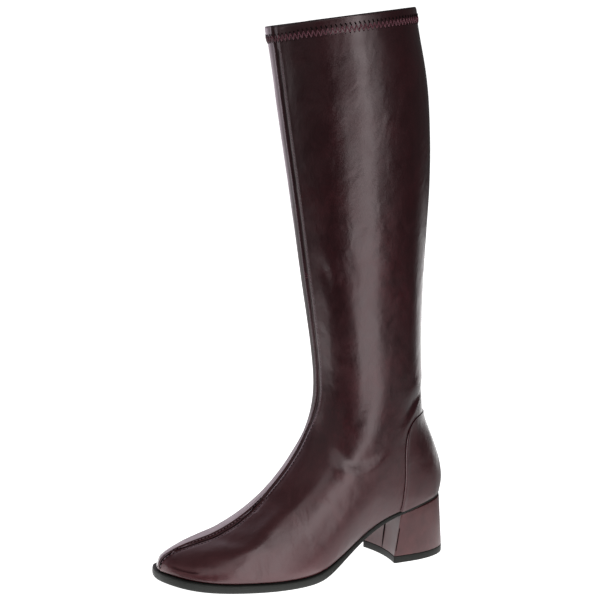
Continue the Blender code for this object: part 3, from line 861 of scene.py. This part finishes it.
class BOOT_OT_counter(bpy.types.Operator):
    """Heel counter: a panel with rounded edges laid over the back of the heel"""

    bl_idname = "boot.counter"
    bl_label = "Heel counter"

    def execute(self, context):
        leather = context.scene.boot.leather
        skin = Skin(bpy.data.objects["boot_upper"])
        piece = new_grid("boot_counter", COUNTER_COLUMNS - 1, COUNTER_ROWS - 1)
        moved_to(piece, self.panel(skin, COUNTER_COLUMNS, COUNTER_ROWS))
        only(piece)
        bpy.ops.object.mode_set(mode="EDIT")
        bpy.ops.mesh.select_all(action="SELECT")
        bpy.ops.mesh.normals_make_consistent(inside=False)
        done(piece)
        if face_values(piece, "normal")[:, 1].mean() < 0:
            piece.data.flip_normals()
        modified(piece, "SOLIDIFY", thickness=COUNTER_WALL, offset=1.0, use_even_offset=True)
        modified(
            piece, "BEVEL", width=COUNTER_BEVEL, segments=3, limit_method="ANGLE",
            angle_limit=math.radians(50),
        )
        look = burgundy_leather("counter_leather_look", leather, 0.8)
        finished(piece, "burgundy_leather", look, replaces="heel_counter")
        return {"FINISHED"}

    def panel(self, skin, columns, rows):
        """Points of the panel: angle and height are blended from its four edges, then laid on the skin."""
        edge = smooth_line(COUNTER_EDGE, 10) * MM
        outline = []
        for along, height in edge:
            if height < COUNTER_START:
                continue
            point, _ = skin.towards(Vector((0.2, along, height)), Vector((-1, 0, 0)))
            middle = leg_middle(height)
            outline.append((math.atan2(along - middle.y, point.x - middle.x), height))
        outline.append((math.pi / 2, COUNTER_TOP))
        outline = np.array(outline)
        corner = np.searchsorted(outline[:, 1], COUNTER_CORNER)
        low_angle, low_height = skin.angles(*COUNTER_FEATHER)
        stops = np.linspace(outline[0, 0], math.pi / 2, 12)
        feather = [low_height[np.abs(low_angle - a) < math.radians(4)].min() for a in stops]
        feather = np.polyval(np.polyfit(stops, feather, 4), stops) + 0.4 * MM
        half = columns // 2
        across = np.linspace(0, 1, half + 1) ** 1.7
        up = 1 - np.linspace(1, 0, rows) ** 1.5
        side = at_share(outline[: corner + 1], up)
        side[:, 1] += (feather[0] - side[0, 1]) * (1 - up)
        top = at_share(outline[corner:], across)
        low = np.stack([
            np.interp(across, (0, 1), (side[0, 0], math.pi / 2)),
            np.interp(across, np.linspace(0, 1, 12), feather),
        ], axis=1)
        back_height = np.interp(up, (0, 1), (low[-1, 1], top[-1, 1]))
        back = np.stack([np.full(rows, math.pi / 2), back_height], axis=1)
        u = across[None, :, None]
        v = up[:, None, None]
        blend = (1 - v) * low[None] + v * top[None] + (1 - u) * side[:, None] + u * back[:, None]
        blend -= (1 - u) * (1 - v) * low[0] + u * (1 - v) * low[-1] + (1 - u) * v * top[0] + u * v * top[-1]
        angles = np.concatenate([blend[:, :, 0], math.pi - blend[:, -2::-1, 0]], axis=1)
        heights = np.concatenate([blend[:, :, 1], blend[:, -2::-1, 1]], axis=1)
        places = []
        for angle, height in zip(angles.ravel(), heights.ravel()):
            point, normal = skin.round_leg(angle, height)
            places.append(point + normal * COUNTER_GAP)
        places = np.array(places).reshape(rows, columns, 3)
        from_end = np.minimum(np.arange(columns), np.arange(columns)[::-1])
        places[0, :, 2] -= COUNTER_FLAP * np.interp(from_end, (0, 6), (0.2, 1))
        return self.welted(places)

    def welted(self, places):
        """The panel with a soft welt along its front edges, where it is turned under."""
        along = travelled(places)
        from_edge = np.minimum(along, along[:, -1:] - along)
        out = unit(np.cross(np.gradient(places, axis=1), np.gradient(places, axis=0)))
        out *= np.sign(out[:, places.shape[1] // 2, 1].mean())
        rise = np.interp(from_edge / MM, *WELT) * MM
        rise *= np.interp(np.linspace(0, 1, len(places)), *WELT_SHARE)[:, None]
        return places + out * rise[:, :, None]


def at_share(edge, share):
    """Points of the counter's edge, by angle and height, at shares of its length."""
    reached = travelled(edge * (COUNTER_RADIUS, 1.0))
    return np.stack([np.interp(share * reached[-1], reached, axis) for axis in edge.T], axis=-1)


def thread_bit():
    """One short bit of thread along X, round at both ends, of length and thickness one."""
    bpy.ops.object.select_all(action="DESELECT")
    bpy.ops.mesh.primitive_uv_sphere_add(segments=8, ring_count=7, radius=0.5)
    bit = bpy.context.object
    bpy.ops.object.mode_set(mode="EDIT")
    bpy.ops.mesh.select_all(action="SELECT")
    bpy.ops.transform.rotate(value=math.pi / 2, orient_axis="Y", center_override=(0, 0, 0))
    bpy.ops.object.mode_set(mode="OBJECT")
    corners = corners_of(bit)
    faces = [tuple(face.vertices) for face in bit.data.polygons]
    mesh = bit.data
    bpy.data.objects.remove(bit)
    bpy.data.meshes.remove(mesh)
    corners[:, 0] = np.sign(corners[:, 0]) * (np.abs(corners[:, 0]) * 2) ** 0.55 / 2
    return corners, faces


def sewn(name, starts, ends, ups, width, height, bow=0.0):
    """Many bits of thread as one mesh, each from its start to its end, bowed out of the leather."""
    corners, faces = thread_bit()
    starts, ends, ups = (np.asarray(part, float) for part in (starts, ends, ups))
    along = ends - starts
    length = np.linalg.norm(along, axis=1, keepdims=True)
    along = along / length
    side = unit(np.cross(ups, along))
    up = np.cross(along, side)
    middle = (starts + ends) / 2
    arch = bow * (1 - (2 * corners[:, 0]) ** 2)
    places = (
        middle[:, None, :]
        + along[:, None, :] * (corners[None, :, 0:1] * (length[:, None] + width))
        + side[:, None, :] * (corners[None, :, 1:2] * width)
        + up[:, None, :] * (corners[None, :, 2:3] * height + arch[None, :, None])
    )
    count = len(corners)
    every = [tuple(i * count + j for j in face) for i in range(len(starts)) for face in faces]
    mesh = bpy.data.meshes.new(name)
    mesh.from_pydata(places.reshape(-1, 3), [], every)
    mesh.update()
    piece = bpy.data.objects.new(name, mesh)
    bpy.context.scene.collection.objects.link(piece)
    return piece


def seam_row(skin, reach, pitch):
    """Places and directions of stitch holes beside the front seam, from the toe to the rim."""
    line = skin.front_seam()
    total = travelled(line)[-1]
    middle = at_distance(line, np.linspace(0, total, 160))
    middle[1:-1] = (middle[:-2] + 2 * middle[1:-1] + middle[2:]) / 4
    stations = np.arange(SEAM_START, travelled(middle)[-1] - SEAM_END, pitch)
    places = []
    outwards = []
    for here, ahead in zip(at_distance(middle, stations), at_distance(middle, stations + 0.5 * MM)):
        run = Vector(ahead - here).normalized()
        out = Vector((1, 0, 0)).cross(run)
        out = -out if out.dot(Vector((0, -1, 0.6))) < 0 else out
        point, normal = skin.towards(Vector(here) + Vector((reach, 0, 0)) + out * 0.006, -out)
        places.append(point)
        outwards.append(normal)
    return np.array(places), np.array(outwards)


class BOOT_OT_seam_stitches(bpy.types.Operator):
    """Two rows of stitches along the front seam, their needle holes, a dark strip of painted shade down its
    valley, and the tacks across it
    """

    bl_idname = "boot.seam_stitches"
    bl_label = "Front seam stitches"

    def execute(self, context):
        looks = context.scene.boot
        sizes = looks.stitching
        skin = Skin(bpy.data.objects["boot_upper"])
        stitches, holes = [], []
        for side in (1, -1):
            places, outwards = seam_row(skin, side * sizes.seam_reach, sizes.seam_pitch)
            gap = (places[1:] - places[:-1]) * STITCH_GAP
            stitches.append((places[:-1] + gap, places[1:] - gap, outwards[:-1] + outwards[1:]))
            run = unit(np.gradient(places, axis=0)) * HOLE_REACH
            low = places[:, 2] < HOLE_TOP
            holes.append(((places - run)[low], (places + run)[low], outwards[low]))
        thread = sizes.seam_thread
        rows = (np.concatenate(part) for part in zip(*stitches))
        bits = sewn("seam_stitches", *rows, thread, *(thread * part for part in SEAM_THREAD))
        look = twisted_thread("seam_thread_look", toned(sizes.seam_colour), 0.36)
        finished(bits, "burgundy_leather", look)
        rows = (np.concatenate(part) for part in zip(*holes))
        pits = sewn("seam_needle_holes", *rows, HOLE_WIDTH, HOLE_DEPTH)
        finished(pits, "burgundy_leather", painted_shade_finish("seam_hole_look"))
        # A dark strip down the seam's valley: painted shade
        places, outwards = seam_row(skin, 0.0, VALLEY_SHADE_STEP)
        valley_shade = sewn("seam_valley_painted_shade", places[:-1], places[1:], outwards[:-1], HOLE_WIDTH, HOLE_DEPTH)
        finished(valley_shade, "burgundy_leather", painted_shade_finish("seam_valley_painted_shade_look"))
        self.tacks(skin, looks)
        return {"FINISHED"}

    def tacks(self, skin, looks):
        """Short bits of thread across the seam."""
        bits = []
        for tack in named_rows(TACK_COLUMNS, TACKS):
            xs = np.linspace(tack["from_x"], tack["to_x"], 4) * MM
            zs = np.linspace(tack["height"], tack["height"] - tack["drop"], 4) * MM
            hits = [skin.towards(Vector((x, -0.2, z)), Vector((0, 1, 0))) for x, z in zip(xs, zs)]
            bits += [(a, b, up_a + up_b) for (a, up_a), (b, up_b) in zip(hits, hits[1:])]
        piece = sewn("seam_tacks", *zip(*bits), TACK_WIDTH, TACK_WIDTH)
        look = twisted_thread("tack_thread_look", toned(looks.stitching.thread, 1.2))
        finished(piece, "burgundy_leather", look)


class BOOT_OT_hem_stitches(bpy.types.Operator):
    """Red zigzag stitching round the hem, with the needle holes that the stretch has opened"""

    bl_idname = "boot.hem_stitches"
    bl_label = "Hem stitches"

    def execute(self, context):
        sizes = context.scene.boot.stitching
        skin = Skin(bpy.data.objects["boot_upper"])
        skin.find_rim()
        angles = np.linspace(-math.pi, math.pi, 361)
        middle = np.array([skin.round_leg(a, skin.rim(a) - sizes.hem_drop)[0] for a in angles])
        reached = travelled(middle)
        count = int(round(reached[-1] / sizes.hem_pitch))
        high, low, high_up, low_up = [], [], [], []
        for i in range(count):
            for share, drop, places, ups in (
                (0.0, -0.5, high, high_up), (0.5, 0.5, low, low_up),
            ):
                angle = np.interp((i + share) / count * reached[-1], reached, angles)
                height = skin.rim(angle) - sizes.hem_drop - drop * sizes.hem_height
                point, normal = skin.round_leg(angle, height)
                places.append(point + normal * HEM_LIFT)
                ups.append(normal)
        high, low, high_up, low_up = (np.array(part) for part in (high, low, high_up, low_up))
        starts = np.concatenate([high, low])
        ends = np.concatenate([low, np.roll(high, -1, axis=0)])
        ups = np.concatenate([high_up + low_up, low_up + np.roll(high_up, -1, axis=0)])
        thread = sizes.hem_thread
        zigzag = sewn("hem_zigzag", starts, ends, ups, thread, *(thread * part for part in HEM_THREAD))
        finished(zigzag, "burgundy_leather", twisted_thread("hem_thread_look", toned(sizes.thread)))
        down = unit(low - high)
        from_front = np.abs(np.arctan2(high[:, 0] - LEG_X, leg_along(0.42) - high[:, 1]))
        pull = np.interp(np.degrees(from_front), *HEM_PULL)[:, None] * MM
        lifts = np.concatenate([-down * pull, down * HEM_LOW_PULL])
        ups = np.concatenate([high_up, low_up])
        pits = sewn("hem_needle_holes", starts - lifts * 0.1, starts + lifts, ups, HOLE_WIDTH, HOLE_DEPTH)
        finished(pits, "burgundy_leather", painted_shade_finish("hem_hole_look"))
        return {"FINISHED"}


class BOOT_OT_outsole(bpy.types.Operator):
    """Rubber outsole with rounded edges and a fine ribbed tread"""

    bl_idname = "boot.outsole"
    bl_label = "Outsole"

    def execute(self, context):
        sole = context.scene.boot.sole
        piece = copy_of("outsole", "boot_outsole")
        pick(piece, "polygons", self.plates(piece))
        bpy.ops.mesh.inset(thickness=SOLE_INSET, use_boundary=True, use_even_offset=True)
        done(piece)
        strips = self.plates(piece)
        middles = face_values(piece, "center")
        normals = face_values(piece, "normal")
        area = np.array([face.area for face in piece.data.polygons])
        ribs = strips & (normals[:, 2] < -0.5) & (area > TREAD_AREA) & (middles[:, 1] < TREAD_BACK)
        pick(piece, "polygons", ribs)
        bpy.ops.mesh.subdivide(number_cuts=1)
        done(piece)
        smoothed(piece, 2)
        for name, depth in (("sole_rubber_look", 0.0), ("tread_look", sole.tread_depth)):
            piece.data.materials.append(moulded_rubber(name, toned(sole.rubber), 0.6, depth))
        under = face_values(piece, "normal")[:, 2] < -0.75
        piece.data.polygons.foreach_set("material_index", under.astype(np.int32))
        finished(piece, "sole_rubber", replaces="outsole")
        return {"FINISHED"}

    def plates(self, piece):
        """The faces of the top and the underside, which reach across the middle of the foot."""
        corners = corners_of(piece)
        chosen = []
        for face in piece.data.polygons:
            across = corners[list(face.vertices), 0]
            chosen.append(across.min() < 0.2 * MM and across.max() > 2.4 * MM and abs(face.normal.z) > 0.4)
        return np.array(chosen)


class BOOT_OT_heel(bpy.types.Operator):
    """Leather-covered heel: soft edges, with dark strips of painted shade down the seam of the breast and
    along its corners
    """

    bl_idname = "boot.heel"
    bl_label = "Heel"

    def execute(self, context):
        leather = context.scene.boot.leather
        piece = rounded_block("heel_block", "boot_heel", HEEL_BEVEL, 3)
        # The heel's paler colour is partly its own leather and partly painted floor-bounce light
        look = polished_leather(
            "heel_leather_look", toned(leather.heel), toned(leather.heel, 0.6), toned(leather.blush),
            leather.gloss + 0.14, 0.15,
        )
        finished(piece, "heel_leather", look, replaces="heel_block", angle=35)
        self.join_shades(piece)
        return {"FINISHED"}

    def join_shades(self, heel):
        """Dark strips of painted shade on the cover's joins: down the middle of the breast and along its
        two corners.
        """
        corners = [Vector(place) for place in corners_of(heel)]
        tree = BVHTree.FromPolygons(corners, [list(face.vertices) for face in heel.data.polygons])
        low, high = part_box("heel_block")
        heights = np.linspace(low[2] + 0.7 * MM, high[2] - 0.5 * MM, 14)
        for join in named_rows(JOIN_COLUMNS, JOINS):
            side, name = join["side"], join["name"]
            face_out = Vector((side, -1.0, 0)).normalized()
            line = [self.join_place(tree, side, face_out, height) for height in heights]
            line = np.array([place for place in line if place])
            for axis in (0, 1):
                line[:, axis] = np.polyval(np.polyfit(line[:, 2], line[:, axis], 2), line[:, 2])
            ups = [face_out] * (len(line) - 1)
            piece = sewn(name, line[:-1], line[1:], ups, join["width"] * MM, JOIN_DEPTH)
            finished(piece, "heel_leather", painted_shade_finish(name + "_look"))

    def join_place(self, tree, side, face_out, height):
        """Where a join crosses a height: the furthest place towards its corner, or the breast's middle."""
        here = Vector((LEG_X, JOIN_MIDDLE, height))
        places = []
        for turn in np.radians(np.arange(-84, -30, 1.5) if side else [-90]):
            out = Vector((side * math.cos(turn), math.sin(turn), 0))
            place = tree.ray_cast(here + out * 0.1, -out, 0.1)[0]
            if place and side == 0:
                beside = tree.ray_cast(here + out * 0.1 + Vector((2.4 * MM, 0, 0)), -out, 0.1)[0]
                place.y = beside.y if beside else place.y
            if place:
                places.append(place)
        return max(places, key=lambda place: (place - here).dot(face_out), default=None)


class BOOT_OT_lift(bpy.types.Operator):
    """Rubber lift under the heel"""

    bl_idname = "boot.lift"
    bl_label = "Heel lift"

    def execute(self, context):
        piece = rounded_block("heel_lift", "boot_lift", LIFT_BEVEL, 2)
        look = moulded_rubber("lift_rubber_look", toned(context.scene.boot.sole.lift), 0.55)
        finished(piece, "lift_rubber", look, replaces="heel_lift", angle=35)
        return {"FINISHED"}


class BOOT_OT_insole(bpy.types.Operator):
    """Insole covered in the lining's fabric"""

    bl_idname = "boot.insole"
    bl_label = "Insole"

    def execute(self, context):
        piece = copy_of("insole", "boot_insole")
        look = brushed_lining("insole_look", toned(context.scene.boot.sole.fabric))
        finished(piece, "insole_fabric", look, replaces="insole", angle=40)
        return {"FINISHED"}


def rounded_block(node, name, width, segments):
    """A node's block with each end made one face and the edges round both ends bevelled."""
    piece = copy_of(node, name)
    for sign in (1, -1):
        pick(piece, "polygons", face_values(piece, "normal")[:, 2] * sign > 0.75)
        bpy.ops.mesh.dissolve_faces()
        done(piece)
    pick(piece, "edges", edges_round_ends(piece))
    bpy.ops.mesh.bevel(offset=width, segments=segments, affect="EDGES")
    return done(piece)


def edges_round_ends(piece):
    """The edges round the two ends of a block."""
    ends = {
        tuple(sorted(pair)) for face in piece.data.polygons if abs(face.normal.z) > 0.75
        for pair in face.edge_keys
    }
    return np.array([tuple(sorted(edge.vertices)) in ends for edge in piece.data.edges])


def between(pair, share):
    """Values between the two of a pair, at shares from the first."""
    return pair[0] + (pair[1] - pair[0]) * share


def on_tent(turn, rise):
    """Points of the tent by turn and rise in degrees."""
    turn, rise = np.radians(turn), np.radians(rise)
    flat = np.cos(rise)
    return TENT_RADIUS * np.stack([flat * np.cos(turn), flat * np.sin(turn), np.sin(rise)], axis=1)


def on_floor(turn, reach):
    """Points of the papers by turn in degrees and reach."""
    turn = np.radians(turn)
    return np.stack([reach * np.cos(turn), reach * np.sin(turn), np.full_like(turn, PAPER_HEIGHT)], axis=1)


def lit_sheet(place, name, turn, out, brightness, tint=PLAIN):
    """A glowing sheet that the camera doesn't see, bent to its place from a flat grid."""
    sheet = new_grid(name, 24, 8)
    across, up, _ = corners_of(sheet).T + 0.5
    moved_to(sheet, place(between(turn, across), between(out, up)))
    sheet.data.materials.append(Finish(name + "_look").surface({
        "Base Color": (0.0, 0.0, 0.0), "Specular IOR Level": 0.0, "Emission Color": tint,
        "Emission Strength": brightness * bpy.context.scene.boot.stage.tent,
    }))
    sheet.visible_camera = sheet.visible_shadow = False


class BOOT_OT_stage(bpy.types.Operator):
    """Pale floor, soft studio lights and the camera"""

    bl_idname = "boot.stage"
    bl_label = "Stage"

    def execute(self, context):
        settings = context.scene.boot.stage
        self.floor(settings)
        self.lights()
        self.camera(context.scene)
        return {"FINISHED"}

    def floor(self, settings):
        """A white floor that only the camera sees."""
        ground = new_grid("studio_floor", 4, 4, FLOOR_SIZE)
        finish = Finish("studio_floor_look")
        tone = toned(settings.floor)
        paper = finish.blend(finish.noise(900, 2.0) * 0.15, tone, toned(tone, 0.97))
        ground.data.materials.append(finish.surface({
            "Base Color": paper, "Emission Color": paper, "Emission Strength": FLOOR_GLOW, "Roughness": 0.8,
            "Specular IOR Level": 0.0,
        }))
        ground.visible_glossy = ground.visible_diffuse = False

    def lights(self):
        """Soft boxes on the tent and lit paper on the floor round the boot."""
        for place, table in ((on_tent, SOFT_BOXES), (on_floor, PAPERS)):
            for sheet in named_rows(SHEET_COLUMNS, table):
                lit_sheet(place, **sheet)
        room = bpy.data.worlds.new("studio_room")
        room.use_nodes = True
        glow = room.node_tree.nodes["Background"].inputs
        glow["Color"].default_value = (1, 1, 1, 1)
        glow["Strength"].default_value = ROOM_GLOW
        bpy.context.scene.world = room
        bpy.context.scene.view_settings.view_transform = "Standard"

    def camera(self, scene):
        """The camera, turned to its view of the boot."""
        azimuth, elevation, roll = (math.radians(a) for a in (VIEW_AZIMUTH, VIEW_ELEVATION, VIEW_ROLL))
        back = Vector((
            math.sin(azimuth) * math.cos(elevation),
            -math.cos(azimuth) * math.cos(elevation),
            math.sin(elevation),
        ))
        right = (-back).cross(Vector((0, 0, 1))).normalized()
        up = right.cross(-back)
        side = right * math.cos(roll) + up * math.sin(roll)
        top = up * math.cos(roll) - right * math.sin(roll)
        bpy.ops.object.select_all(action="DESELECT")
        bpy.ops.object.camera_add()
        camera = bpy.context.object
        camera.name = "boot_camera"
        turn = Matrix((side, top, back)).transposed().to_4x4()
        camera.matrix_world = Matrix.Translation(Vector(VIEW_TARGET) + back * VIEW_DISTANCE) @ turn
        camera.data.sensor_width = 36
        camera.data.lens = VIEW_LENS
        scene.camera = camera


PIECE_OPERATORS = (
    BOOT_OT_upper,
    BOOT_OT_counter,
    BOOT_OT_seam_stitches,
    BOOT_OT_hem_stitches,
    BOOT_OT_outsole,
    BOOT_OT_heel,
    BOOT_OT_lift,
    BOOT_OT_insole,
    BOOT_OT_stage,
)


class BOOT_PT_pieces(bpy.types.Panel):
    """Pieces and sizes of the sock boot"""

    bl_idname = "BOOT_PT_pieces"
    bl_label = "Sock boot"
    bl_space_type = "VIEW_3D"
    bl_region_type = "UI"
    bl_category = "Boot"

    def draw(self, context):
        looks = context.scene.boot
        for group in (looks.leather, looks.stitching, looks.sole, looks.stage):
            box = self.layout.box()
            for name in group.bl_rna.properties.keys():
                if name not in ("rna_type", "name"):
                    box.prop(group, name)
        for operator in PIECE_OPERATORS:
            self.layout.operator(operator.bl_idname)


CLASSES = (BootLeather, BootStitching, BootSole, BootStage, BootLooks, *PIECE_OPERATORS, BOOT_PT_pieces)


def register():
    for cls in CLASSES:
        bpy.utils.register_class(cls)
    bpy.types.Scene.boot = PointerProperty(type=BootLooks)


def unregister():
    del bpy.types.Scene.boot
    for cls in reversed(CLASSES):
        bpy.utils.unregister_class(cls)


def main():
    register()
    bpy.ops.boot.upper()
    bpy.ops.boot.counter()
    bpy.ops.boot.seam_stitches()
    bpy.ops.boot.hem_stitches()
    bpy.ops.boot.outsole()
    bpy.ops.boot.heel()
    bpy.ops.boot.lift()
    bpy.ops.boot.insole()
    bpy.ops.boot.stage()
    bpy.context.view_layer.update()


if __name__ == "__main__":
    main()
